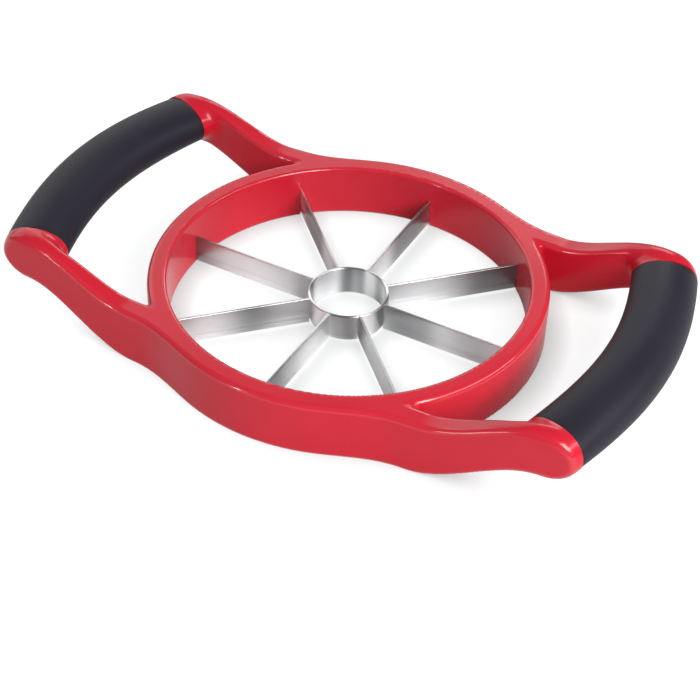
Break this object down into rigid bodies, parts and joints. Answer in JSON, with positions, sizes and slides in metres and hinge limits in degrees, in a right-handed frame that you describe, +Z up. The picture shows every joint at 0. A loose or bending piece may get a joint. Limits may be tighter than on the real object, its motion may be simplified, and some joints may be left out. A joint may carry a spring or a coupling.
{
  "type": "apple slicer",
  "caption": "Hand slicer: a round moulded ring with radial steel blades round a core tube, and a soft-grip handle at each end.",
  "frame": {"origin": "centre of the ring on the surface that the slicer stands on", "axes": "+Z up, with the blades' ground edges facing down; +X from the left grip to the right grip; +Y to the far rail"},
  "size_m": [0.186, 0.1128, 0.0272],
  "materials": {
    "red_plastic": "satin gloss moulded",
    "steel": "brushed along the blade",
    "soft_grip": "smooth matt soft-touch"
  },
  "bodies": {
    "root": {"frame": "red_plastic", "retaining_ring": "red_plastic", "blade_hoop": "steel", "core_ring": "steel", "blade_1": "steel", "blade_2": "steel", "blade_3": "steel", "blade_4": "steel", "blade_5": "steel", "blade_6": "steel", "blade_7": "steel", "blade_8": "steel", "grip_right": "soft_grip", "grip_left": "soft_grip"}
  },
  "joints": []
}
